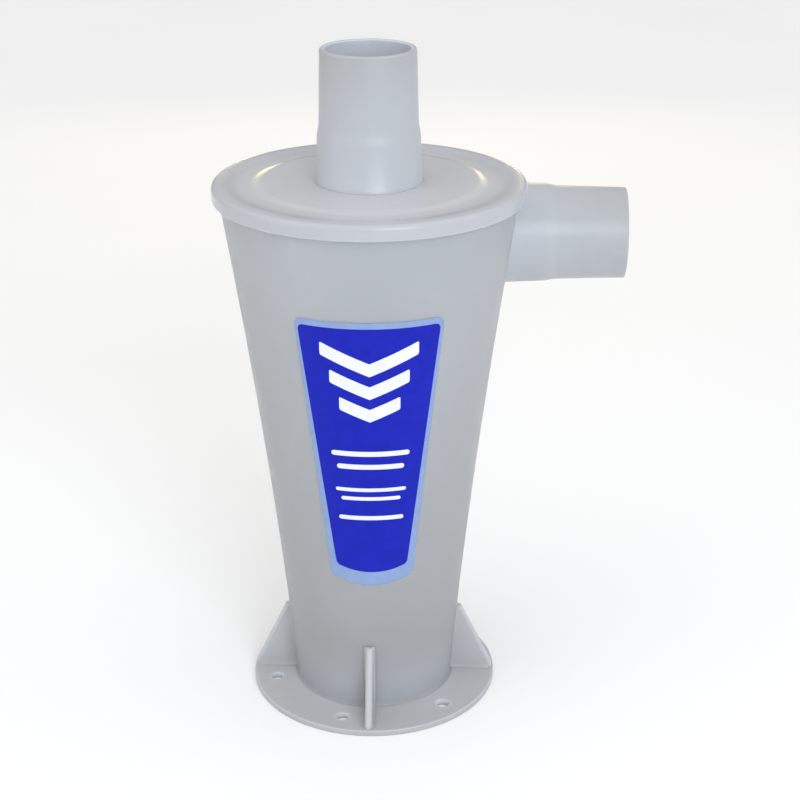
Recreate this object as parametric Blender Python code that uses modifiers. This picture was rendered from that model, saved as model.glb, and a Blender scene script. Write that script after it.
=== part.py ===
"""Small cyclone dust separator in milky polyethylene, built up from plastic-welded pieces.

Metres, +Z up. The origin is on the base plane, under the middle of the whole object's box.
The cyclone's own axis stands at x = AXIS_X. The inlet lies behind it and points along +X.
"""

import math

import bmesh
import bpy

# Hose ports: a 2 inch hose cuff slides over the slim end, a wider cuff over the fat end.
HOSE_RADIUS = 0.0254
PORT_WALL = 0.0030
PORT_SLIM_LENGTH = 0.0400
PORT_STEP_LENGTH = 0.0045
PORT_SLIM_FLARE = 0.0010
PORT_STEP_HEIGHT = 0.0010
PORT_BASE_RADIUS = 0.0286
PORT_BASE_DISTANCE = 0.0700
PORT_RIM_ROUNDING = 0.0005
PORT_FOOT_FILLET = 0.0006

# Cone: outer radius = BASE + LINEAR * s + FLARE * s^2, with s = height above the flange / CONE_SPAN.
CONE_BASE_RADIUS = 0.0455
CONE_LINEAR = 0.0233
CONE_FLARE = 0.0097
CONE_SPAN = 0.2800
CONE_WALL = 0.0025
CONE_ROWS = 10

# Base flange, its holes and the gussets that brace it.
FLANGE_RADIUS = 0.0713
FLANGE_THICKNESS = 0.0035
FLANGE_EDGE = 0.0008
DISCHARGE_RADIUS = 0.0392
HOLE_CIRCLE_RADIUS = 0.0588
HOLE_RADIUS = 0.0035
HOLE_COUNT = 6
FIRST_HOLE_DEGREES = 15.0
GUSSET_THICKNESS = 0.0040
GUSSET_TOP = 0.0450
GUSSET_TOP_WIDTH = 0.0024
GUSSET_TOE_RADIUS = 0.0703
GUSSET_TOE_HEIGHT = 0.0032
GUSSET_ROWS = 3

# Lid: a welded cap whose skirt covers the cone's top edge.
LID_RADIUS = 0.0843
LID_HEIGHT = 0.3032
LID_WALL = 0.0030
LID_SKIRT_BOTTOM = 0.2948
LID_SKIRT_WALL = 0.0019
LID_SKIRT_DRAFT = 0.0005
LID_BEAD_WIDTH = 0.0085
LID_BEAD_HEIGHT = 0.0013
LID_BEAD_FILLET = 0.0018
LID_EDGE_ROUNDING = 0.0012
LID_STEP_INNER = 0.0570
LID_STEP_OUTER = 0.0640
LID_HOLE_RADIUS = 0.0252

# Whole object
OVERALL_HEIGHT = 0.3733
INLET_REACH = 0.1417
INLET_OFFSET = 0.0465
INLET_HEIGHT = 0.2605
INLET_ROOT = 0.0140
AXIS_X = -(INLET_REACH - LID_RADIUS) / 2

# Vortex finder: the outlet's tube goes on down inside the cone, past the inlet.
FINDER_RADIUS = 0.0262
FINDER_WALL = 0.0025
FINDER_BOTTOM = 0.2220
FINDER_FLANGE_RADIUS = 0.0320
FINDER_FLANGE_THICKNESS = 0.0022

# Label: a tapered sheet on the front of the cone.
LABEL_BOTTOM = 0.0915
LABEL_TOP = 0.2490
LABEL_CENTRE_DEGREES = -87.8
LABEL_HALF_BOTTOM_DEGREES = 24.0
LABEL_HALF_TOP_DEGREES = 33.0
LABEL_THICKNESS = 0.0004
LABEL_COLUMNS = 20
LABEL_ROWS = 8

GAP = 0.0003
BIG_SEGMENTS = 64
TUBE_SEGMENTS = 48
HOLE_SEGMENTS = 20
MERGE = 0.00001

CLEAR_POLY = ("milky polyethylene", (0.66, 0.69, 0.74, 1.0), 0.35)
PORT_POLY = ("port polyethylene", (0.74, 0.78, 0.84, 1.0), 0.38)
LABEL_VINYL = ("blue vinyl", (0.03, 0.05, 0.55, 1.0), 0.30)


def clear_scene():
    """Removes every object that the file opened with."""
    for item in list(bpy.data.objects):
        bpy.data.objects.remove(item)


def new_collection(name):
    """Makes a collection under the scene's own."""
    group = bpy.data.collections.new(name)
    bpy.context.scene.collection.children.link(group)
    return group


def plastic(finish):
    """Gives the Principled material for one (name, colour, roughness) finish."""
    name, colour, roughness = finish
    material = bpy.data.materials.get(name) or bpy.data.materials.new(name)
    material.use_nodes = True
    shader = material.node_tree.nodes["Principled BSDF"]
    shader.inputs["Base Color"].default_value = colour
    shader.inputs["Roughness"].default_value = roughness
    shader.inputs["Metallic"].default_value = 0.0
    return material


def place(name, mesh, group, location=(0.0, 0.0, 0.0), rotation=(0.0, 0.0, 0.0)):
    """Links a mesh as a named object."""
    item = bpy.data.objects.new(name, mesh)
    item.location = location
    item.rotation_euler = rotation
    group.objects.link(item)
    return item


def as_cutter(item):
    """Marks an object as a cutting tool that is never part of the model."""
    item.hide_render = True
    item.display_type = "WIRE"
    return item


def turned(name, profile, segments, group, location, rotation=(0.0, 0.0, 0.0)):
    """Turns a closed (radius, height) outline about the local Z axis with a Screw modifier.

    The outline runs down its outer side and back up its inner side.
    """
    mesh = bpy.data.meshes.new(name)
    points = [(radius, 0.0, height) for radius, height in profile]
    count = len(points)
    edges = [(i, (i + 1) % count) for i in range(count)]
    mesh.from_pydata(points, edges, [])
    item = place(name, mesh, group, location, rotation)
    screw = item.modifiers.new("turn", "SCREW")
    screw.axis = "Z"
    screw.angle = 2 * math.pi
    screw.steps = segments
    screw.render_steps = segments
    screw.use_merge_vertices = True
    screw.merge_threshold = MERGE
    screw.use_smooth_shade = True
    return item


def cut(item, cutter):
    """Takes the cutter's volume away from the item."""
    boolean = item.modifiers.new("cut " + cutter.name, "BOOLEAN")
    boolean.operation = "DIFFERENCE"
    boolean.solver = "EXACT"
    boolean.object = cutter


def cone_radius(height):
    """Outer radius of the cone: a parabola in the height, so the wall flares upwards."""
    s = (height - FLANGE_THICKNESS) / CONE_SPAN
    return CONE_BASE_RADIUS + CONE_LINEAR * s + CONE_FLARE * s * s


def spread(low, high, count):
    """Gives count + 1 even steps from low to high."""
    return [low + (high - low) * i / count for i in range(count + 1)]


def make_cone_body(group, inlet_bore):
    """The tapered shell, with a narrow ledge round its top and the inlet's opening."""
    bottom = FLANGE_THICKNESS + GAP
    top = LID_HEIGHT - LID_BEAD_HEIGHT - LID_WALL - GAP
    ledge_bottom = LID_SKIRT_BOTTOM + GAP
    ledge_radius = LID_RADIUS - LID_SKIRT_DRAFT - LID_SKIRT_WALL - GAP
    outer = [(cone_radius(z), z) for z in reversed(spread(bottom, ledge_bottom, CONE_ROWS))]
    inner = [(cone_radius(z) - CONE_WALL, z) for z in spread(bottom, top, CONE_ROWS)]
    ledge = [(ledge_radius, top), (ledge_radius, ledge_bottom)]
    body = turned("cone_body", ledge + outer + inner, BIG_SEGMENTS, group, (AXIS_X, 0.0, 0.0))
    body.data.materials.append(plastic(CLEAR_POLY))
    cut(body, inlet_bore)
    return body


def make_lid(group):
    """The cap: a raised plateau, a soft step down to a flat ring, and a raised band at the rim."""
    top = LID_HEIGHT
    ring = top - LID_BEAD_HEIGHT
    floor = ring - LID_WALL
    band_inner = LID_RADIUS - LID_BEAD_WIDTH
    skirt_out = LID_RADIUS - LID_SKIRT_DRAFT
    step_middle = (LID_STEP_INNER + LID_STEP_OUTER) / 2
    corner = LID_EDGE_ROUNDING * (1 - math.cos(math.radians(45.0)))
    upper = [
        (LID_HOLE_RADIUS, top),
        (LID_STEP_INNER, top),
        (step_middle, (top + ring) / 2),
        (LID_STEP_OUTER, ring),
        (band_inner - LID_BEAD_FILLET, ring),
        (band_inner - LID_BEAD_FILLET / 2, (top + ring) / 2),
        (band_inner, top),
    ]
    side = [
        (LID_RADIUS - LID_EDGE_ROUNDING, top),
        (LID_RADIUS - corner, top - corner),
        (LID_RADIUS, top - LID_EDGE_ROUNDING),
        (skirt_out, LID_SKIRT_BOTTOM + LID_EDGE_ROUNDING / 2),
        (skirt_out - LID_EDGE_ROUNDING / 2, LID_SKIRT_BOTTOM),
    ]
    under = [
        (skirt_out - LID_SKIRT_WALL, LID_SKIRT_BOTTOM),
        (skirt_out - LID_SKIRT_WALL, floor),
        (LID_HOLE_RADIUS, floor),
    ]
    lid = turned("top_lid", upper + side + under, BIG_SEGMENTS, group, (AXIS_X, 0.0, 0.0))
    lid.data.materials.append(plastic(CLEAR_POLY))
    return lid


def port_outline(end, root, root_flare):
    """Outline of a stepped hose port whose mouth is at height end and whose root is at root."""
    slim_end = end - PORT_SLIM_LENGTH
    step_end = slim_end - PORT_STEP_LENGTH
    slim_radius = HOSE_RADIUS + PORT_SLIM_FLARE
    fat_radius = slim_radius + PORT_STEP_HEIGHT
    base_height = max(end - PORT_BASE_DISTANCE, root + root_flare)
    outer = [
        (HOSE_RADIUS - PORT_RIM_ROUNDING, end),
        (HOSE_RADIUS, end - PORT_RIM_ROUNDING),
        (slim_radius, slim_end),
        (fat_radius, step_end),
        (PORT_BASE_RADIUS, base_height),
        (PORT_BASE_RADIUS + root_flare, root),
    ]
    inner = [
        (PORT_BASE_RADIUS - PORT_WALL, root),
        (PORT_BASE_RADIUS - PORT_WALL, base_height),
        (fat_radius - PORT_WALL, step_end),
        (slim_radius - PORT_WALL, slim_end),
        (HOSE_RADIUS - PORT_WALL, end),
    ]
    return outer + inner


def make_outlet_port(group):
    """The upright port, which stands on the lid with a small fillet round its foot."""
    outline = port_outline(OVERALL_HEIGHT, LID_HEIGHT + GAP, PORT_FOOT_FILLET)
    port = turned("outlet_port", outline, TUBE_SEGMENTS, group, (AXIS_X, 0.0, 0.0))
    port.data.materials.append(plastic(PORT_POLY))
    return port


def make_inlet_port(group, cone_shape):
    """The level port behind the axis, its root cut to the cone so that it meets it tangentially."""
    outline = port_outline(INLET_REACH, INLET_ROOT, 0.0)
    centre = (AXIS_X, INLET_OFFSET, INLET_HEIGHT)
    port = turned("inlet_port", outline, TUBE_SEGMENTS, group, centre, (0.0, math.pi / 2, 0.0))
    port.data.materials.append(plastic(PORT_POLY))
    cut(port, cone_shape)
    return port


def make_vortex_finder(group):
    """The tube under the lid that the cleaned air leaves through, with its mounting collar."""
    top = LID_HEIGHT - LID_BEAD_HEIGHT - LID_WALL - GAP
    outline = [
        (FINDER_FLANGE_RADIUS, top),
        (FINDER_FLANGE_RADIUS, top - FINDER_FLANGE_THICKNESS),
        (FINDER_RADIUS, top - FINDER_FLANGE_THICKNESS),
        (FINDER_RADIUS, FINDER_BOTTOM),
        (FINDER_RADIUS - FINDER_WALL, FINDER_BOTTOM),
        (FINDER_RADIUS - FINDER_WALL, top),
    ]
    finder = turned("vortex_finder", outline, TUBE_SEGMENTS, group, (AXIS_X, 0.0, 0.0))
    finder.data.materials.append(plastic(CLEAR_POLY))
    return finder


def make_flange(group, drills):
    """The round foot with the discharge opening and the bolt holes."""
    outline = [
        (FLANGE_RADIUS - FLANGE_EDGE, FLANGE_THICKNESS),
        (FLANGE_RADIUS, FLANGE_THICKNESS - FLANGE_EDGE),
        (FLANGE_RADIUS, 0.0),
        (DISCHARGE_RADIUS, 0.0),
        (DISCHARGE_RADIUS, FLANGE_THICKNESS),
    ]
    flange = turned("base_flange", outline, BIG_SEGMENTS, group, (AXIS_X, 0.0, 0.0))
    flange.data.materials.append(plastic(CLEAR_POLY))
    for drill in drills:
        cut(flange, drill)
    return flange


def make_gusset(name, degrees, group):
    """A thin brace in a radial plane, from the cone's wall to the flange's edge."""
    foot = FLANGE_THICKNESS + GAP
    wall = [(cone_radius(z) + GAP, z) for z in spread(foot, GUSSET_TOP, GUSSET_ROWS)]
    outline = wall + [
        (wall[-1][0] + GUSSET_TOP_WIDTH, GUSSET_TOP),
        (GUSSET_TOE_RADIUS, foot + GUSSET_TOE_HEIGHT),
        (GUSSET_TOE_RADIUS, foot),
    ]
    curve = bpy.data.curves.new(name, "CURVE")
    curve.dimensions = "2D"
    curve.fill_mode = "BOTH"
    curve.extrude = GUSSET_THICKNESS / 2
    spline = curve.splines.new("POLY")
    spline.points.add(len(outline) - 1)
    for point, (radius, height) in zip(spline.points, outline):
        point.co = (radius, height, 0.0, 1.0)
    spline.use_cyclic_u = True
    curve.materials.append(plastic(CLEAR_POLY))
    brace = place(name, curve, group, (AXIS_X, 0.0, 0.0))
    brace.rotation_euler = (math.pi / 2, 0.0, math.radians(degrees))
    return brace


def make_label(group):
    """The tapered sheet on the cone's front: an even grid bent onto the cone, then thickened."""
    mesh = bpy.data.meshes.new("front_label")
    grid = bmesh.new()
    bmesh.ops.create_grid(grid, x_segments=LABEL_COLUMNS, y_segments=LABEL_ROWS, size=1.0)
    for vertex in grid.verts:
        across = vertex.co.x
        up = (vertex.co.y + 1) / 2
        height = LABEL_BOTTOM + (LABEL_TOP - LABEL_BOTTOM) * up
        half = LABEL_HALF_BOTTOM_DEGREES + (LABEL_HALF_TOP_DEGREES - LABEL_HALF_BOTTOM_DEGREES) * up
        angle = math.radians(LABEL_CENTRE_DEGREES + half * across)
        radius = cone_radius(height) + GAP
        vertex.co = (radius * math.cos(angle), radius * math.sin(angle), height)
    grid.to_mesh(mesh)
    grid.free()
    mesh.shade_smooth()
    label = place("front_label", mesh, group, (AXIS_X, 0.0, 0.0))
    label.data.materials.append(plastic(LABEL_VINYL))
    thickness = label.modifiers.new("vinyl", "SOLIDIFY")
    thickness.thickness = LABEL_THICKNESS
    thickness.offset = 1.0
    return label


def make_cone_cutter(cutters):
    """A solid of the cone's outer shape, one gap larger, that trims what stands against it."""
    bottom = FLANGE_THICKNESS
    top = LID_HEIGHT
    outer = [(cone_radius(z) + GAP, z) for z in reversed(spread(bottom, top, CONE_ROWS))]
    outline = [(0.0, top)] + outer + [(0.0, bottom)]
    return as_cutter(turned("cone_shape", outline, BIG_SEGMENTS, cutters, (AXIS_X, 0.0, 0.0)))


def make_cylinder_cutter(name, radius, low, high, segments, cutters, centre, rotation):
    """A plain cylinder from low to high along its own axis through centre."""
    mesh = bpy.data.meshes.new(name)
    shape = bmesh.new()
    bmesh.ops.create_cone(
        shape,
        cap_ends=True,
        segments=segments,
        radius1=radius,
        radius2=radius,
        depth=high - low,
    )
    bmesh.ops.translate(shape, verts=shape.verts, vec=(0.0, 0.0, (low + high) / 2))
    shape.to_mesh(mesh)
    shape.free()
    return as_cutter(place(name, mesh, cutters, centre, rotation))


def make_drills(cutters):
    """The bolt holes' cylinders, evenly spaced and clear of the gussets."""
    drills = []
    for index in range(HOLE_COUNT):
        angle = math.radians(FIRST_HOLE_DEGREES + index * 360.0 / HOLE_COUNT)
        centre = (
            AXIS_X + HOLE_CIRCLE_RADIUS * math.cos(angle),
            HOLE_CIRCLE_RADIUS * math.sin(angle),
            0.0,
        )
        drills.append(
            make_cylinder_cutter(
                "drill_%d" % (index + 1),
                HOLE_RADIUS,
                -FLANGE_THICKNESS,
                2 * FLANGE_THICKNESS,
                HOLE_SEGMENTS,
                cutters,
                centre,
                (0.0, 0.0, 0.0),
            )
        )
    return drills


def main():
    """Builds every piece."""
    clear_scene()
    parts = new_collection("cyclone_dust_separator")
    cutters = new_collection("cutters")
    cone_shape = make_cone_cutter(cutters)
    inlet_bore = make_cylinder_cutter(
        "inlet_bore",
        PORT_BASE_RADIUS - PORT_WALL - GAP,
        INLET_ROOT / 2,
        INLET_REACH,
        TUBE_SEGMENTS,
        cutters,
        (AXIS_X, INLET_OFFSET, INLET_HEIGHT),
        (0.0, math.pi / 2, 0.0),
    )
    make_cone_body(parts, inlet_bore)
    make_lid(parts)
    make_outlet_port(parts)
    make_inlet_port(parts, cone_shape)
    make_vortex_finder(parts)
    make_flange(parts, make_drills(cutters))
    for side, degrees in (("right", 0), ("rear", 90), ("left", 180), ("front", 270)):
        make_gusset("gusset_" + side, degrees, parts)
    make_label(parts)


main()
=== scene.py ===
"""The looks of a small cyclone dust separator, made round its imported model.

Metres, +Z up, the model's own frame. Every visible piece here is a smooth surface that stands for
one node of the model: the milky shells and ports, the braced foot, and the printed label.
"""
import math

import bmesh
import bpy
import numpy as np
from mathutils import Matrix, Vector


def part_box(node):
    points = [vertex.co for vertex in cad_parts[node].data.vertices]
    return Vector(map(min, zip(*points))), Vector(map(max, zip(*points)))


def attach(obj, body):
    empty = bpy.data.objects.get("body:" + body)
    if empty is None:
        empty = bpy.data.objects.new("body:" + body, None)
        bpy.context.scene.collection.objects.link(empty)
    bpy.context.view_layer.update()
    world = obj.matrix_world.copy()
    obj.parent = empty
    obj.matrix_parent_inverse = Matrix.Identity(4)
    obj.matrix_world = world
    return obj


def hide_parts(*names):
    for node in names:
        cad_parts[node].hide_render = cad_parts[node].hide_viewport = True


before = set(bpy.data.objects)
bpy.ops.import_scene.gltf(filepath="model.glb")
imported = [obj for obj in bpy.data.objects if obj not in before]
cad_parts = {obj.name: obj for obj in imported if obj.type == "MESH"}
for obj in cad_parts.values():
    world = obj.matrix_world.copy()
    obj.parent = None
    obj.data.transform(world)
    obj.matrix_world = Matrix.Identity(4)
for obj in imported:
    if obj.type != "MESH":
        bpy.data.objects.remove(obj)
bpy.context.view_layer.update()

# ---------------------------------------------------------------- sizes read from the model
lid_low, lid_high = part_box("top_lid")
outlet_low, outlet_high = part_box("outlet_port")
inlet_low, inlet_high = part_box("inlet_port")
finder_low, finder_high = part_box("vortex_finder")
flange_low, flange_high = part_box("base_flange")
cone_low, cone_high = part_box("cone_body")
brace_low, brace_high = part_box("gusset_right")
label_low, label_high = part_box("front_label")

AXIS_X = (lid_low.x + lid_high.x) / 2
LID_RADIUS = (lid_high.x - lid_low.x) / 2
LID_TOP = lid_high.z
SKIRT_BOTTOM = lid_low.z
OUTLET_TOP = outlet_high.z
INLET_END = inlet_high.x
INLET_Y = (inlet_low.y + inlet_high.y) / 2
INLET_Z = (inlet_low.z + inlet_high.z) / 2
PORT_FOOT_RADIUS = (inlet_high.y - inlet_low.y) / 2
FINDER_BOTTOM = finder_low.z
FINDER_COLLAR_RADIUS = (finder_high.x - finder_low.x) / 2
FLANGE_RADIUS = (flange_high.x - flange_low.x) / 2
FLANGE_TOP = flange_high.z
CONE_TOP = cone_high.z
LEDGE_RADIUS = (cone_high.x - cone_low.x) / 2
BRACE_TOE_RADIUS = brace_high.x - AXIS_X
BRACE_TOP = brace_high.z
BRACE_THICKNESS = brace_high.y - brace_low.y
LABEL_BOTTOM = label_low.z
LABEL_TOP = label_high.z

# ---------------------------------------------------------------- sizes of the maker's drawing
CONE_BASE_RADIUS = 0.0455
CONE_LINEAR = 0.0233
CONE_FLARE = 0.0097
CONE_SPAN = 0.2800
CONE_WALL = 0.0025
PORT_WALL = 0.0030
HOSE_RADIUS = 0.0254
PORT_SLIM_LENGTH = 0.0400
PORT_STEP_LENGTH = 0.0045
PORT_SLIM_RADIUS = 0.0264
PORT_FAT_RADIUS = 0.0274
PORT_BASE_DISTANCE = 0.0700
PORT_BLEND = 0.0200
LID_WALL = 0.0030
LID_BAND_WIDTH = 0.0085
# The model's band stands 1.3 mm above the ring. This one is lower, and its slopes are softer.
LID_BAND_HEIGHT = 0.0007
LID_FLAT_RADIUS = 0.0400
LID_STEP_INNER = 0.0570
LID_STEP_OUTER = 0.0640
LID_HOLE_RADIUS = 0.0252
SKIRT_WALL = 0.0019
SKIRT_DRAFT = 0.0005
FINDER_RADIUS = 0.0262
FINDER_WALL = 0.0025
FINDER_COLLAR = 0.0022
DISCHARGE_RADIUS = 0.0392
HOLE_CIRCLE_RADIUS = 0.0588
HOLE_RADIUS = 0.0035
HOLE_COUNT = 6
FIRST_HOLE = math.radians(15)

# Neighbours sink this far into each other, so that no light shows between them.
SUNK = 0.0002

# How many points go round the large turned pieces, and round the ports and the inner tube.
ROUND_STEPS = 192
PORT_STEPS = 144

# Points closer than this after a cut are one point.
MERGE_DISTANCE = 0.000002

# The middle range of a noise texture, which holds nearly all of its values.
NOISE_LOW = 0.35
NOISE_HIGH = 0.65


# ---------------------------------------------------------------- surfaces
def grid_quads(rows, columns, wrap_rows=False, wrap_columns=False):
    """Corner indices of the quads of a grid whose vertex (row, column) is row * columns + column."""
    row = np.arange(rows if wrap_rows else rows - 1)[:, None]
    column = np.arange(columns if wrap_columns else columns - 1)[None, :]
    next_row = (row + 1) % rows
    next_column = (column + 1) % columns
    corners = [
        row * columns + column,
        row * columns + next_column,
        next_row * columns + next_column,
        next_row * columns + column,
    ]
    return np.stack(corners, axis=-1).reshape(-1, 4)


def new_piece(name, points, faces, material, sharp_degrees=35.0):
    """Makes a smooth-shaded object at the origin from arrays of points and faces."""
    mesh = bpy.data.meshes.new(name)
    mesh.from_pydata(np.asarray(points, float).reshape(-1, 3).tolist(), [], faces.tolist())
    mesh.materials.append(material)
    mesh.shade_smooth()
    mesh.set_sharp_from_angle(angle=math.radians(sharp_degrees))
    piece = bpy.data.objects.new(name, mesh)
    bpy.context.scene.collection.objects.link(piece)
    return piece


def rounded(corners, steps=6):
    """A closed outline in which each corner (x, y, fillet) becomes an arc tangent to both its sides."""
    spots = np.array([corner[:2] for corner in corners], float)
    outline = []
    for index, (_, _, fillet) in enumerate(corners):
        spot = spots[index]
        back = spots[index - 1] - spot
        ahead = spots[(index + 1) % len(corners)] - spot
        back_length = np.linalg.norm(back)
        ahead_length = np.linalg.norm(ahead)
        back = back / back_length
        ahead = ahead / ahead_length
        half = math.acos(np.clip(back @ ahead, -1, 1)) / 2
        if fillet <= 0 or half > math.radians(89):
            outline.append(spot)
            continue
        tangent = min(fillet / math.tan(half), 0.49 * back_length, 0.49 * ahead_length)
        radius = tangent * math.tan(half)
        bisector = (back + ahead) / np.linalg.norm(back + ahead)
        centre = spot + bisector * radius / math.sin(half)
        start = spot + back * tangent - centre
        end = spot + ahead * tangent - centre
        sweep = math.pi - 2 * half
        for t in np.linspace(0, 1, steps):
            outline.append(
                centre + (start * math.sin((1 - t) * sweep) + end * math.sin(t * sweep)) / math.sin(sweep)
            )
    return np.array(outline)


def turned(name, outline, material, steps=ROUND_STEPS):
    """A closed outline (radius, height) turned about the cyclone's axis.

    Point (angle a, outline t) is (radius(t) cos a, radius(t) sin a, height(t)), shifted to the axis.
    """
    angle = np.linspace(0, 2 * np.pi, steps, endpoint=False)[:, None]
    radius = outline[None, :, 0]
    height = np.broadcast_to(outline[None, :, 1], (steps, len(outline)))
    points = np.stack([AXIS_X + radius * np.cos(angle), radius * np.sin(angle), height], axis=-1)
    return new_piece(name, points, grid_quads(steps, len(outline), True, True), material)


def walled(name, inner, outer, material, sharp_degrees):
    """Two grids of the same shape, back to back, closed by a band round their common rim.

    Each grid's vertex (row, column) lies at the same place in both, and outer's quads face outwards
    where its rows go up and its columns go to the right as seen from outside.
    """
    rows, columns = inner.shape[:2]
    count = rows * columns
    index = np.arange(count).reshape(rows, columns)
    rim = np.concatenate([index[0, :-1], index[:-1, -1], index[-1, :0:-1], index[:0:-1, 0]])
    after = np.roll(rim, -1)
    band = np.stack([rim, after, after + count, rim + count], axis=-1)
    face = grid_quads(rows, columns)
    faces = np.concatenate([face[:, ::-1], face + count, band])
    points = np.concatenate([inner.reshape(-1, 3), outer.reshape(-1, 3)])
    return new_piece(name, points, faces, material, sharp_degrees)


def smooth(t):
    """Smoothstep: 3 t^2 - 2 t^3, held at 0 and 1 outside its range."""
    t = np.clip(t, 0, 1)
    return t * t * (3 - 2 * t)


def fillet_rise(distance, radius):
    """How far a quarter-round fillet stands out at a distance from the corner that it fills."""
    inside = np.clip(radius - distance, 0, radius)
    return radius - np.sqrt(radius * radius - inside * inside)


def cone_radius(height):
    """Outer radius of the cone: base + linear s + flare s^2, with s the height over the span."""
    s = (height - FLANGE_TOP) / CONE_SPAN
    return CONE_BASE_RADIUS + CONE_LINEAR * s + CONE_FLARE * s * s


def applied(piece):
    """Replaces a piece's mesh by what its modifiers make of it."""
    depsgraph = bpy.context.evaluated_depsgraph_get()
    mesh = bpy.data.meshes.new_from_object(piece.evaluated_get(depsgraph))
    piece.modifiers.clear()
    old = piece.data
    piece.data = mesh
    bpy.data.meshes.remove(old)


def bored(piece, drills, sharp_degrees=35.0):
    """Cuts the drills out of a piece, removes them, and marks the new edges sharp."""
    for drill in drills:
        cut = piece.modifiers.new("bore", "BOOLEAN")
        cut.operation = "DIFFERENCE"
        cut.solver = "EXACT"
        cut.object = drill
    applied(piece)
    shell = bmesh.new()
    shell.from_mesh(piece.data)
    bmesh.ops.remove_doubles(shell, verts=shell.verts, dist=MERGE_DISTANCE)
    shell.to_mesh(piece.data)
    shell.free()
    for drill in drills:
        bpy.data.objects.remove(drill)
    piece.data.set_sharp_from_angle(angle=math.radians(sharp_degrees))


# ---------------------------------------------------------------- materials
def new_material(name):
    """A material with its node tree, its Principled shader and a link helper."""
    material = bpy.data.materials.new(name)
    material.use_nodes = True
    nodes = material.node_tree.nodes
    shader = nodes["Principled BSDF"]
    return material, nodes, material.node_tree.links, shader


def noise(nodes, links, scale, detail=2.0, stretch=(1.0, 1.0, 1.0)):
    """A noise texture on object coordinates, with a stretch along each axis. Returns its Fac."""
    place = nodes.new("ShaderNodeTexCoord")
    mapping = nodes.new("ShaderNodeMapping")
    mapping.inputs["Scale"].default_value = stretch
    texture = nodes.new("ShaderNodeTexNoise")
    texture.inputs["Scale"].default_value = scale
    texture.inputs["Detail"].default_value = detail
    links.new(place.outputs["Object"], mapping.inputs["Vector"])
    links.new(mapping.outputs["Vector"], texture.inputs["Vector"])
    return texture.outputs["Fac"]


def spread_value(nodes, links, source, low, high):
    """Maps a noise's middle range onto low to high."""
    ranged = nodes.new("ShaderNodeMapRange")
    ranged.inputs["From Min"].default_value = NOISE_LOW
    ranged.inputs["From Max"].default_value = NOISE_HIGH
    ranged.inputs["To Min"].default_value = low
    ranged.inputs["To Max"].default_value = high
    links.new(source, ranged.inputs["Value"])
    return ranged.outputs["Result"]


def two_tone(nodes, links, source, first, second):
    """Mixes two colours by a noise."""
    mix = nodes.new("ShaderNodeMix")
    mix.data_type = "RGBA"
    mix.inputs["A"].default_value = (*first, 1.0)
    mix.inputs["B"].default_value = (*second, 1.0)
    links.new(spread_value(nodes, links, source, 0.0, 1.0), mix.inputs["Factor"])
    return mix.outputs["Result"]


def bump(nodes, links, shader, source, strength, distance):
    """Raises the surface by a noise."""
    node = nodes.new("ShaderNodeBump")
    node.inputs["Strength"].default_value = strength
    node.inputs["Distance"].default_value = distance
    links.new(source, node.inputs["Height"])
    links.new(node.outputs["Normal"], shader.inputs["Normal"])


def milky_plastic(name, thin, thick, roughness, transmission, grain=0.12):
    """Natural polyethylene: cloudy, lets light through blurred, with a faint moulded skin.

    Each vertex's tone_and_painted_light value runs from 0, the colour named thin, to 1, the colour
    named thick, and a soft cloud moves that by a few hundredths. Beside the plastic's own tone,
    on most pieces it holds painted light and shade rather than the wall's thickness.
    """
    cloud_depth = 0.06
    smoothest, roughest = roughness - 0.03, roughness + 0.05
    material, nodes, links, shader = new_material(name)
    tone_and_painted_light = nodes.new("ShaderNodeAttribute")
    tone_and_painted_light.attribute_name = "tone_and_painted_light"
    cloud = noise(nodes, links, 22.0, 3.0, (1.0, 1.0, 0.45))
    share = nodes.new("ShaderNodeMath")
    share.operation = "ADD"
    share.use_clamp = True
    links.new(tone_and_painted_light.outputs["Fac"], share.inputs[0])
    links.new(spread_value(nodes, links, cloud, -cloud_depth, cloud_depth), share.inputs[1])
    mix = nodes.new("ShaderNodeMix")
    mix.data_type = "RGBA"
    mix.inputs["A"].default_value = (*thin, 1.0)
    mix.inputs["B"].default_value = (*thick, 1.0)
    links.new(share.outputs["Value"], mix.inputs["Factor"])
    links.new(mix.outputs["Result"], shader.inputs["Base Color"])
    patch = noise(nodes, links, 60.0, 4.0)
    rough = spread_value(nodes, links, patch, smoothest, roughest)
    links.new(rough, shader.inputs["Roughness"])
    shader.inputs["IOR"].default_value = 1.5
    shader.inputs["Transmission Weight"].default_value = transmission
    shader.inputs["Subsurface Weight"].default_value = 1.0
    shader.inputs["Subsurface Radius"].default_value = (1.0, 1.05, 1.15)
    shader.inputs["Subsurface Scale"].default_value = 0.0018
    bump(nodes, links, shader, noise(nodes, links, 420.0, 2.0), grain, 0.0002)
    return material


def milky(piece, amount):
    """Writes each vertex's tone_and_painted_light value, worked out from its place by the amount function:
    the plastic's tone, with painted light and shade on most pieces.
    """
    mesh = piece.data
    places = np.empty(3 * len(mesh.vertices))
    mesh.vertices.foreach_get("co", places)
    values = np.clip(amount(*places.reshape(-1, 3).T), 0, 1)
    layer = mesh.attributes.new("tone_and_painted_light", "FLOAT", "POINT")
    layer.data.foreach_set("value", values)
    return piece


def vinyl(name, first, second):
    """Printed vinyl film: even ink with a slight mottle under a satin overlaminate."""
    material, nodes, links, shader = new_material(name)
    mottle = noise(nodes, links, 140.0, 3.0)
    links.new(two_tone(nodes, links, mottle, first, second), shader.inputs["Base Color"])
    rough = spread_value(nodes, links, noise(nodes, links, 80.0), 0.34, 0.46)
    links.new(rough, shader.inputs["Roughness"])
    shader.inputs["IOR"].default_value = 1.46
    shader.inputs["Specular IOR Level"].default_value = 0.2
    bump(nodes, links, shader, noise(nodes, links, 700.0), 0.06, 0.0001)
    return material
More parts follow.
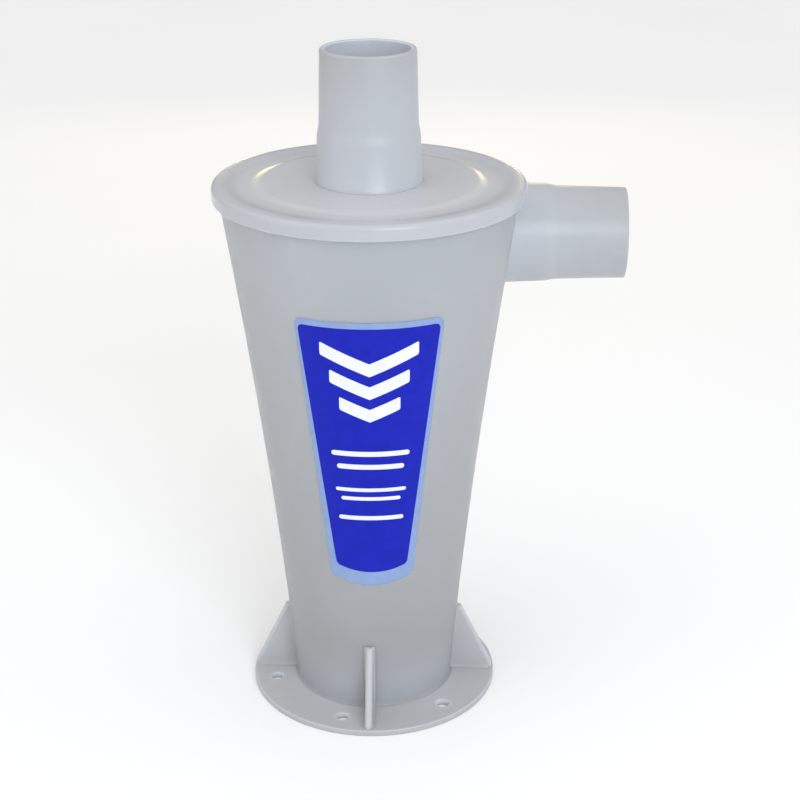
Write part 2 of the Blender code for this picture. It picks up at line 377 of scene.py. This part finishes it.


# Each plastic: its colour at 0 (thin), its colour at 1 (thick), its roughness and its transmission.
# The pieces paint light and shade between the two colours.
body_plastic = milky_plastic("milky_body", (0.63, 0.635, 0.655), (0.75, 0.775, 0.81), 0.38, 0.60)
foot_plastic = milky_plastic("milky_foot", (0.55, 0.555, 0.57), (0.76, 0.78, 0.82), 0.38, 0.20)
lid_plastic = milky_plastic("milky_lid", (0.66, 0.667, 0.695), (0.575, 0.59, 0.625), 0.19, 0.20, 0.03)
port_plastic = milky_plastic("port_plastic", (0.485, 0.50, 0.515), (0.80, 0.828, 0.91), 0.36, 0.20)
deep_blue = vinyl("label_deep_blue", (0.003, 0.010, 0.37), (0.004, 0.012, 0.41))
pale_blue = vinyl("label_pale_blue", (0.23, 0.32, 0.545), (0.245, 0.34, 0.575))
label_white = vinyl("label_white", (0.72, 0.73, 0.76), (0.76, 0.77, 0.80))


# ---------------------------------------------------------------- the cone and its foot
def make_cone():
    """The flared shell. Its outer side follows cone_radius and ends below in a small fillet.

    The shell is painted lighter evenly from the braces' top up to the lid, painted light for the light that
    falls from above, and lighter again down at the foot, painted light against the shade where it stands on
    the flange.
    """
    bottom = FLANGE_TOP - SUNK
    ledge_bottom = SKIRT_BOTTOM + 0.0003
    ledge_edge = 0.0004
    foot_fillet = 0.0022
    painted_light_foot_top = 0.010
    painted_light_foot_fade = 0.036
    bore_far = AXIS_X + 0.1
    bore_near = AXIS_X + 0.008
    outer_z = bottom + (ledge_bottom - bottom) * np.linspace(1, 0, 90) ** 1.5
    outer_r = cone_radius(outer_z) + fillet_rise(outer_z - bottom, foot_fillet)
    inner_z = np.linspace(bottom, CONE_TOP, 50)
    inner_r = cone_radius(inner_z) - CONE_WALL
    ledge = rounded([
        (inner_r[-1] + 0.0006, CONE_TOP, 0.0),
        (LEDGE_RADIUS, CONE_TOP, ledge_edge),
        (LEDGE_RADIUS, ledge_bottom, ledge_edge),
        (outer_r[0] + 0.0002, ledge_bottom, 0.0),
    ])
    outer = np.stack([outer_r, outer_z], -1)
    inner = np.stack([inner_r, inner_z], -1)
    outline = np.concatenate([ledge, outer, inner])
    cone = turned("cone_shell", outline, body_plastic)
    bore = PORT_FOOT_RADIUS - PORT_WALL
    bored(cone, [make_drill([(bore, bore_far), (bore, bore_near)], (0.0, INLET_Y, INLET_Z), level=True)])

    def amount(x, y, z):
        """Painted light: rises from the braces to the lid, and adds 1 at the foot, which fades out upwards.
        """
        climb = np.clip((z - BRACE_TOP) / (SKIRT_BOTTOM - BRACE_TOP), 0, 1)
        return climb + 1.0 - smooth((z - painted_light_foot_top) / painted_light_foot_fade)

    return milky(cone, amount)


def make_drill(outline, centre, level=False, steps=96):
    """A capped cutting tool: an outline (radius, along) turned about Z, or about X when level.

    The outline runs down the drill's side, from its far end to its near one.
    """
    outline = np.array(outline, float)
    rim = len(outline)
    angle = np.linspace(0, 2 * np.pi, steps, endpoint=False)[:, None]
    radius = outline[None, :, 0]
    along = np.broadcast_to(outline[None, :, 1], (steps, rim))
    flat = [radius * np.cos(angle), radius * np.sin(angle)]
    points = np.stack([along, *flat] if level else [*flat, along], axis=-1) + np.array(centre)
    mesh = bpy.data.meshes.new("drill")
    far_cap = list(range(0, steps * rim, rim))
    near_cap = list(range(rim - 1, steps * rim, rim))[::-1]
    faces = grid_quads(steps, rim, True, False).tolist() + [far_cap, near_cap]
    mesh.from_pydata(points.reshape(-1, 3).tolist(), [], faces)
    drill = bpy.data.objects.new("drill", mesh)
    bpy.context.scene.collection.objects.link(drill)
    return drill


def make_flange():
    """The round foot: a rounded plate with a discharge opening and bolt holes with broken edges.

    Its upper side has a row of points every millimetre and a half, so that the painted light and
    shade can change round the cone's foot and round each hole.
    """
    edge = 0.0010
    ring_step = 0.0015
    lip = 0.0003
    rings = np.arange(DISCHARGE_RADIUS + edge, FLANGE_RADIUS - edge, ring_step)
    outline = rounded([(r, FLANGE_TOP, 0.0) for r in rings] + [
        (FLANGE_RADIUS, FLANGE_TOP, edge),
        (FLANGE_RADIUS, 0.0, 0.0005),
        (DISCHARGE_RADIUS, 0.0, 0.0004),
        (DISCHARGE_RADIUS, FLANGE_TOP, 0.0006),
    ])
    flange = turned("foot_flange", outline, foot_plastic)
    angles = FIRST_HOLE + np.arange(HOLE_COUNT) * 2 * np.pi / HOLE_COUNT
    centres = np.stack([
        AXIS_X + HOLE_CIRCLE_RADIUS * np.cos(angles),
        HOLE_CIRCLE_RADIUS * np.sin(angles),
    ], -1)
    bored(flange, [
        make_drill([
            (HOLE_RADIUS + 2.5 * lip, FLANGE_TOP + lip),
            (HOLE_RADIUS, FLANGE_TOP - lip),
            (HOLE_RADIUS, 0.5 * FLANGE_TOP),
            (HOLE_RADIUS, 0.25 * FLANGE_TOP),
            (HOLE_RADIUS, -lip),
        ], (*centre, 0.0), steps=40)
        for centre in centres
    ])

    def amount(x, y, z):
        """Painted light round the cone's foot against the shade where the cone stands, a painted highlight
        round each hole's mouth, and painted light halfway down inside the holes with painted shade below
        it; the edge and underside take the darker colour.
        """
        plain, cone_fade, mouth_fade = 0.13, 0.006, 0.0010
        near_cone = 0.5 * np.exp((CONE_BASE_RADIUS - np.hypot(x - AXIS_X, y)) / cone_fade)
        to_hole = np.hypot(x[:, None] - centres[:, 0], y[:, None] - centres[:, 1]).min(axis=1)
        mouth = np.exp(-np.clip(to_hole - HOLE_RADIUS, 0, None) / mouth_fade)
        mouth = mouth * (z > FLANGE_TOP - 2 * lip)
        in_hole = 1.0 * (to_hole < HOLE_RADIUS + lip) * (z > 0.4 * FLANGE_TOP)
        return np.where(z < FLANGE_TOP - 1.5 * lip, in_hole, plain + near_cone + 0.6 * mouth)

    return milky(flange, amount)


def make_brace(name, degrees):
    """A thin triangular brace between the cone and the foot.

    Its face is a grid: up runs from foot to top, out from the cone's wall to the slanting edge.
    Half the thickness grows by a fillet near the cone and the foot, and rounds off at the edge.
    """
    rows, columns = 44, 30
    up = smooth(np.linspace(0, 1, rows))[:, None] * 0.5 + np.linspace(0, 1, rows)[:, None] * 0.5
    out = (1 - np.cos(np.linspace(0, np.pi, columns)))[None, :] / 2
    bottom = FLANGE_TOP - SUNK
    toe_height = 0.0034
    top_width = 0.0028
    root = 0.0020
    thinnest = 0.0002
    z = bottom + (BRACE_TOP - bottom) * up
    wall = cone_radius(z) - SUNK
    climb = np.clip((z - bottom - toe_height) / (BRACE_TOP - bottom - toe_height), 0, 1)
    edge = BRACE_TOE_RADIUS + (cone_radius(BRACE_TOP) + top_width - BRACE_TOE_RADIUS) * climb
    r = wall + (edge - wall) * out
    slope = math.hypot(BRACE_TOP - bottom, BRACE_TOE_RADIUS - cone_radius(BRACE_TOP))
    to_edge = (edge - r) * (BRACE_TOP - bottom) / slope
    round_over = BRACE_THICKNESS / 2
    past = np.clip(round_over - to_edge, 0, None)
    inset = round_over - np.sqrt(np.clip(round_over**2 - past**2, 0, None))
    half = np.maximum(BRACE_THICKNESS / 2 - inset, thinnest)
    half = half + (fillet_rise(r - wall, root) + fillet_rise(z - bottom, root)) * (to_edge > root)
    turn = math.radians(degrees)
    sides = [
        np.stack([
            AXIS_X + r * math.cos(turn) - across * math.sin(turn),
            r * math.sin(turn) + across * math.cos(turn),
            np.broadcast_to(z, r.shape),
        ], axis=-1)
        for across in (half, -half)
    ]
    brace = walled(name, sides[0], sides[1], foot_plastic, 50.0)
    # A plain tone, and a painted highlight that lightens the brace along its rounded slanting edge.
    near_edge = np.concatenate([to_edge.ravel(), to_edge.ravel()])
    plain, painted_highlight_share, painted_highlight_fade = 0.14, 0.15, 0.002
    return milky(brace, lambda x, y, z: plain + painted_highlight_share * np.exp(-near_edge / painted_highlight_fade))


# ---------------------------------------------------------------- the lid and the ports
def make_lid():
    """The cap: a plateau, a soft S-shaped step down to a flat ring, and a raised band at the rim."""
    ring = LID_TOP - LID_BAND_HEIGHT
    floor = ring - LID_WALL
    band = LID_RADIUS - LID_BAND_WIDTH
    slope_foot = band - 0.0040
    slope_head = band + 0.0015
    skirt = LID_RADIUS - SKIRT_DRAFT
    step_r = np.linspace(LID_STEP_INNER, LID_STEP_OUTER, 16)
    step_down = smooth((step_r - LID_STEP_INNER) / (LID_STEP_OUTER - LID_STEP_INNER))
    step_z = LID_TOP - LID_BAND_HEIGHT * step_down
    corners = [(LID_HOLE_RADIUS, LID_TOP, 0.0002), (LID_FLAT_RADIUS, LID_TOP, 0.0)]
    corners += [(r, z, 0.0) for r, z in zip(step_r, step_z)]
    corners += [
        (slope_foot, ring, 0.0300),
        (slope_head, LID_TOP, 0.0200),
        (LID_RADIUS, LID_TOP, 0.0025),
        (skirt, SKIRT_BOTTOM, 0.0009),
        (skirt - SKIRT_WALL, SKIRT_BOTTOM, 0.0004),
        (skirt - SKIRT_WALL, floor, 0.0003),
        (LID_HOLE_RADIUS, floor, 0.0002),
    ]
    lid = turned("lid_shell", rounded(corners, 8), lid_plastic)
    # Painted shade: outwards from the step the band and the skirt take the darker colour at 1, toning down
    # the light they catch at the front.
    return milky(lid, lambda x, y, z: (np.hypot(x - AXIS_X, y) - LID_STEP_OUTER) / LID_BAND_WIDTH)


def port_outline(end, root, foot_fillet):
    """A stepped hose port's closed outline (radius, distance along), mouth at end, foot at root."""
    slim_end = end - PORT_SLIM_LENGTH
    step_end = slim_end - PORT_STEP_LENGTH
    base = end - PORT_BASE_DISTANCE + foot_fillet
    return [
        (HOSE_RADIUS - PORT_WALL, end, 0.0007),
        (HOSE_RADIUS, end, 0.0009),
        (PORT_SLIM_RADIUS, slim_end, PORT_BLEND),
        (PORT_FAT_RADIUS, step_end, PORT_BLEND),
        (PORT_FOOT_RADIUS, base, 0.0),
        (PORT_FOOT_RADIUS + foot_fillet, root, 0.0),
        (PORT_FOOT_RADIUS - PORT_WALL, root, 0.0),
        (PORT_FOOT_RADIUS - PORT_WALL, base, 0.0),
        (PORT_FAT_RADIUS - PORT_WALL, step_end, PORT_BLEND),
        (PORT_SLIM_RADIUS - PORT_WALL, slim_end, PORT_BLEND),
    ]


def port_tone_and_painted_light(along, radius):
    """Outside, a port is painted lighter from its mouth to its foot, painted light for the brighter light
    near its foot. Its bore is one even tone all the way.
    """
    in_bore, at_foot = 0.55, 0.52
    share = along / PORT_BASE_DISTANCE
    middle = HOSE_RADIUS + (PORT_FOOT_RADIUS - HOSE_RADIUS) * share - PORT_WALL / 2
    return np.where(radius < middle, in_bore, at_foot * share)


def make_outlet():
    """The upright port, turned about the cyclone's axis."""
    weld = 0.0005
    outline = rounded(port_outline(OUTLET_TOP, LID_TOP - SUNK, weld), 8)
    outlet = turned("outlet_spigot", outline, port_plastic, PORT_STEPS)
    # Painted light: the outside is lighter towards the foot, the bore one even tone.
    return milky(outlet, lambda x, y, z: port_tone_and_painted_light(OUTLET_TOP - z, np.hypot(x - AXIS_X, y)))


def make_finder():
    """The tube under the lid, with a collar that holds it."""
    collar = CONE_TOP - FINDER_COLLAR
    outline = rounded([
        (FINDER_RADIUS - FINDER_WALL, CONE_TOP, 0.0),
        (FINDER_COLLAR_RADIUS, CONE_TOP, 0.0003),
        (FINDER_COLLAR_RADIUS, collar, 0.0006),
        (FINDER_RADIUS, collar, 0.0010),
        (FINDER_RADIUS, FINDER_BOTTOM, 0.0008),
        (FINDER_RADIUS - FINDER_WALL, FINDER_BOTTOM, 0.0008),
    ])
    tube = turned("inner_tube", outline, port_plastic, PORT_STEPS)
    return milky(tube, lambda x, y, z: 0.0 * z + 0.5)


def make_inlet():
    """The level port, whose root lies on the cone.

    Each line along the port, at (y, z), meets the cone at x = sqrt(cone_radius(z)^2 - y^2).
    Beyond the free length the port is plain. Nearer than that, its rows run down to that meeting
    point, with a fillet where the port stands steep on the cone. On the grazing side the last of
    each line sinks gently into the cone's wall. Nearer the cyclone's axis than about four
    centimetres the port greys, a painted shade where it meets the cone.
    """
    free = 0.084
    graze = 0.006
    fillet = 0.0030
    steep_from, steep_over = 0.015, 0.025
    grazing_below, grazing_over, run_out = 0.012, 0.006, 0.024
    painted_shade_over = 0.034
    near_rows = 40
    end = INLET_END - AXIS_X
    step_end = end - PORT_SLIM_LENGTH - PORT_STEP_LENGTH
    base = end - PORT_BASE_DISTANCE
    free_radius = np.interp(free, [base, step_end], [PORT_FOOT_RADIUS, PORT_FAT_RADIUS])
    plain = rounded([
        (HOSE_RADIUS - PORT_WALL, end, 0.0007),
        (HOSE_RADIUS, end, 0.0009),
        (PORT_SLIM_RADIUS, end - PORT_SLIM_LENGTH, PORT_BLEND),
        (PORT_FAT_RADIUS, step_end, PORT_BLEND),
        (free_radius, free, 0.0),
        (free_radius - PORT_WALL, free, 0.0),
        (PORT_FAT_RADIUS - PORT_WALL, step_end, PORT_BLEND),
        (PORT_SLIM_RADIUS - PORT_WALL, end - PORT_SLIM_LENGTH, PORT_BLEND),
    ], 8)
    turn_over = int(np.argmin(plain[:, 1])) + 1
    angle = np.linspace(0, 2 * np.pi, PORT_STEPS, endpoint=False)[:, None]

    def side(radius):
        """The y and z of a point at this radius from the port's own axis."""
        return INLET_Y + radius * np.cos(angle), INLET_Z + radius * np.sin(angle)

    def meeting(radius):
        """How far from the cyclone's axis the line at this radius meets the cone."""
        y, z = side(radius)
        return np.sqrt(np.clip((cone_radius(z) - SUNK) ** 2 - y**2, graze**2, None))

    share = np.linspace(0, 1, near_rows + 1)[None, 1:] ** 0.7
    outer_meet = meeting(PORT_FOOT_RADIUS)
    steep = smooth((outer_meet - steep_from) / steep_over)
    outer_meet = meeting(PORT_FOOT_RADIUS + fillet * steep)
    outer_x = free + (outer_meet - free) * share
    outer_r = np.interp(outer_x, [base, step_end], [PORT_FOOT_RADIUS, PORT_FAT_RADIUS])
    outer_r = outer_r + fillet_rise(outer_x - outer_meet, fillet) * steep
    inner_meet = meeting(PORT_FOOT_RADIUS - PORT_WALL)
    inner_x = free + (inner_meet - free) * share[:, ::-1]
    inner_r = np.interp(inner_x, [base, step_end], [PORT_FOOT_RADIUS, PORT_FAT_RADIUS]) - PORT_WALL
    steps = len(angle)
    plain_x = np.broadcast_to(plain[None, :, 1], (steps, len(plain)))
    plain_r = np.broadcast_to(plain[None, :, 0], (steps, len(plain)))
    x = np.concatenate([plain_x[:, :turn_over], outer_x, inner_x, plain_x[:, turn_over:]], axis=1)
    r = np.concatenate([plain_r[:, :turn_over], outer_r, inner_r, plain_r[:, turn_over:]], axis=1)
    y, z = side(r)
    sunk = np.sqrt(np.clip((cone_radius(z) - SUNK) ** 2 - x**2, 0, None))
    grazing = smooth((grazing_below - outer_meet) / grazing_over) * smooth(1 - (x - outer_meet) / run_out)
    outside = np.zeros(x.shape[1])
    outside[turn_over:turn_over + near_rows] = 1
    y = y + (sunk - y) * grazing * outside[None, :]
    points = np.stack([AXIS_X + x, y, z], axis=-1)
    inlet = new_piece("inlet_spigot", points, grid_quads(*x.shape, True, True), port_plastic)
    # The port's painted light towards its foot, greyed near the cone by painted shade.
    amount = 0.85 * port_tone_and_painted_light(end - x, r) * smooth((x - graze) / painted_shade_over)
    return milky(inlet, lambda x, y, z: amount.ravel())


# ---------------------------------------------------------------- the label
LABEL_CENTRE = math.radians(-87.8)
PANEL_BOTTOM = LABEL_BOTTOM + 0.0075
PANEL_TOP = LABEL_TOP - 0.0035
FILM = 0.00006
SHEET_LIFT = 0.00012
PANEL_LIFT = 0.00020
MARK_LIFT = 0.00028


def tapered(bottom, top, half_bottom, half_top, corner, bow=0.0, bend=0.0):
    """A grid over a tapered strip with rounded corners, as arc distance across and height.

    Each row spans the half width at its height, less the corner's inset near both ends. The lower
    edge sags by bow in the middle, and the whole strip climbs by bend for each unit across.
    """
    t = (1 - np.cos(np.linspace(0, np.pi, 25)))[:, None] / 2
    u = np.linspace(-1, 1, 41)[None, :]
    end_distance = np.minimum(t, 1 - t) * (top - bottom)
    past = np.clip(corner - end_distance, 0, None)
    inset = corner - np.sqrt(np.clip(corner**2 - past**2, 0, None))
    half = half_bottom + (half_top - half_bottom) * t - inset
    across = u * half
    height = bottom + (top - bottom) * t - bow * (1 - u**2) * (1 - t) + bend * np.abs(across)
    return across, height


def film(name, shape, offset, material):
    """A thin film on the cone: the grid's angle is its arc distance over the cone's radius there."""
    across, height = shape
    turn = LABEL_CENTRE + across / cone_radius(height)
    layers = []
    for lift in (offset, offset + FILM):
        radius = cone_radius(height) + lift
        layers.append(np.stack([AXIS_X + radius * np.cos(turn), radius * np.sin(turn), height], -1))
    return walled(name, layers[0], layers[1], material, 60.0)


def make_label():
    """The printed sheet: a pale blue sheet, a deep blue panel, and plain white marks."""
    chevron_tall, chevron_corner, chevron_bend = 0.0075, 0.001, 0.45
    chevrons = [(0.2180, 0.026), (0.2045, 0.021), (0.1910, 0.016)]
    bars = [
        (0.1700, 0.021, 0.0030),
        (0.1620, 0.018, 0.0030),
        (0.1480, 0.019, 0.0022),
        (0.1425, 0.016, 0.0022),
        (0.1300, 0.0175, 0.0026),
    ]
    sheet = tapered(LABEL_BOTTOM, LABEL_TOP, 0.0228, 0.0408, 0.004, 0.004)
    panel = tapered(PANEL_BOTTOM, PANEL_TOP, 0.0195, 0.0386, 0.003, 0.003)
    sheets = [
        film("label_sheet", sheet, SHEET_LIFT, pale_blue),
        film("label_panel", panel, PANEL_LIFT, deep_blue),
    ]
    marks = [
        tapered(z, z + chevron_tall, half, half, chevron_corner, bend=chevron_bend)
        for z, half in chevrons
    ]
    marks += [tapered(z, z + tall, half, half, tall / 2) for z, half, tall in bars]
    for number, mark in enumerate(marks):
        sheets.append(film("label_mark_%d" % (number + 1), mark, MARK_LIFT, label_white))
    return sheets


# ---------------------------------------------------------------- stage, light and camera
def make_floor():
    """A wide pale floor."""
    reach = 60.0
    duller, paler = (0.93, 0.93, 0.93), (0.945, 0.945, 0.945)
    material, nodes, links, shader = new_material("pale_floor")
    tone = two_tone(nodes, links, noise(nodes, links, 3.0, 3.0), duller, paler)
    links.new(tone, shader.inputs["Base Color"])
    shader.inputs["Roughness"].default_value = 0.7
    signs = np.array([[-1, -1, 0], [1, -1, 0], [1, 1, 0], [-1, 1, 0]], float)
    floor = new_piece("floor", reach * signs, np.array([[0, 1, 2, 3]]), material)


def make_light(name, place, size, power, colour, aim=(AXIS_X, 0.0, 0.2)):
    """A rectangular softbox at a place, turned to face the aim."""
    lamp = bpy.data.lights.new(name, "AREA")
    lamp.shape = "RECTANGLE"
    lamp.size, lamp.size_y = size
    lamp.energy = power
    lamp.color = colour
    light = bpy.data.objects.new(name, lamp)
    bpy.context.scene.collection.objects.link(light)
    light.matrix_world = facing(np.array(place, float), np.array(aim, float))
    light.visible_camera = False


def facing(place, aim):
    """The placing of an object whose -Z looks from place to aim, with its X level."""
    forward = (aim - place) / np.linalg.norm(aim - place)
    right = np.cross(forward, (0.0, 0.0, 1.0))
    right = right / np.linalg.norm(right)
    up = np.cross(right, forward)
    placing = np.eye(4)
    placing[:3, 0], placing[:3, 1], placing[:3, 2], placing[:3, 3] = right, up, -forward, place
    return Matrix(placing.tolist())


def make_world():
    """A pale surround: brightest overhead, and brighter in front of the object than behind it.

    Its strength in direction (x, y, z) is level + rise z - front y, with z held at 0 below.
    """
    level, rise, front = 0.36, 0.85, 0.16
    world = bpy.data.worlds.new("studio")
    world.use_nodes = True
    nodes = world.node_tree.nodes
    links = world.node_tree.links
    direction = nodes.new("ShaderNodeTexCoord")
    parts = nodes.new("ShaderNodeSeparateXYZ")
    links.new(direction.outputs["Generated"], parts.inputs["Vector"])

    def added(source, factor, base):
        """factor times source plus base, where base is a number or a socket."""
        step = nodes.new("ShaderNodeMath")
        step.operation = "MULTIPLY_ADD"
        links.new(source, step.inputs[0])
        step.inputs[1].default_value = factor
        if isinstance(base, float):
            step.inputs[2].default_value = base
        else:
            links.new(base, step.inputs[2])
        return step.outputs["Value"]

    upward = nodes.new("ShaderNodeMath")
    upward.operation = "MAXIMUM"
    links.new(parts.outputs["Z"], upward.inputs[0])
    upward.inputs[1].default_value = 0.0
    strength = added(parts.outputs["Y"], -front, added(upward.outputs["Value"], rise, level))
    links.new(strength, nodes["Background"].inputs["Strength"])
    nodes["Background"].inputs["Color"].default_value = (1.0, 1.0, 1.0, 1.0)
    bpy.context.scene.world = world


def make_camera():
    """A long-lens camera in front of the label, a little to the right, looking down."""
    yaw, pitch, roll = (math.radians(a) for a in (-1.97, 23.05, -0.17))
    forward = np.array([math.sin(yaw) * math.cos(pitch), math.cos(yaw) * math.cos(pitch), -math.sin(pitch)])
    level = np.array([math.cos(yaw), -math.sin(yaw), 0.0])
    rise = np.cross(level, forward)
    placing = np.eye(4)
    placing[:3, 0] = math.cos(roll) * level + math.sin(roll) * rise
    placing[:3, 1] = math.cos(roll) * rise - math.sin(roll) * level
    placing[:3, 2] = -forward
    placing[:3, 3] = (AXIS_X + 0.0457, -0.8641, 0.5439)
    lens = bpy.data.cameras.new("camera")
    lens.lens = 75.3
    lens.sensor_width = 36.0
    camera = bpy.data.objects.new("camera", lens)
    camera.matrix_world = Matrix(placing.tolist())
    bpy.context.scene.collection.objects.link(camera)
    bpy.context.scene.camera = camera


# ---------------------------------------------------------------- the whole object
def stand_for(pieces, node):
    """Puts pieces in the place of one node of the model."""
    for piece in pieces:
        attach(piece, "root")
        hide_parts(node)


stand_for([make_cone()], "cone_body")
stand_for([make_flange()], "base_flange")
for side, degrees in (("right", 0), ("rear", 90), ("left", 180), ("front", 270)):
    stand_for([make_brace("brace_" + side, degrees)], "gusset_" + side)
stand_for([make_lid()], "top_lid")
stand_for([make_outlet()], "outlet_port")
stand_for([make_finder()], "vortex_finder")
stand_for([make_inlet()], "inlet_port")
stand_for(make_label(), "front_label")

make_floor()
make_world()
make_light("key", (0.55, -1.45, 0.9), (0.8, 0.8), 12.0, (0.86, 0.93, 1.0))
make_light("fill", (-1.4, -0.9, 0.9), (1.2, 1.2), 2.4, (1.0, 0.985, 0.96))
lid_middle = (AXIS_X, 0.0, 0.3)
make_light("left_lamp", (-0.34, 1.50, 0.43), (0.035, 0.10), 0.24, (1.0, 0.84, 0.42), lid_middle)
make_light("right_lamp", (0.17, 1.50, 0.49), (0.045, 0.18), 0.42, (1.0, 0.84, 0.42), lid_middle)
make_camera()
bpy.context.scene.view_settings.view_transform = "Standard"
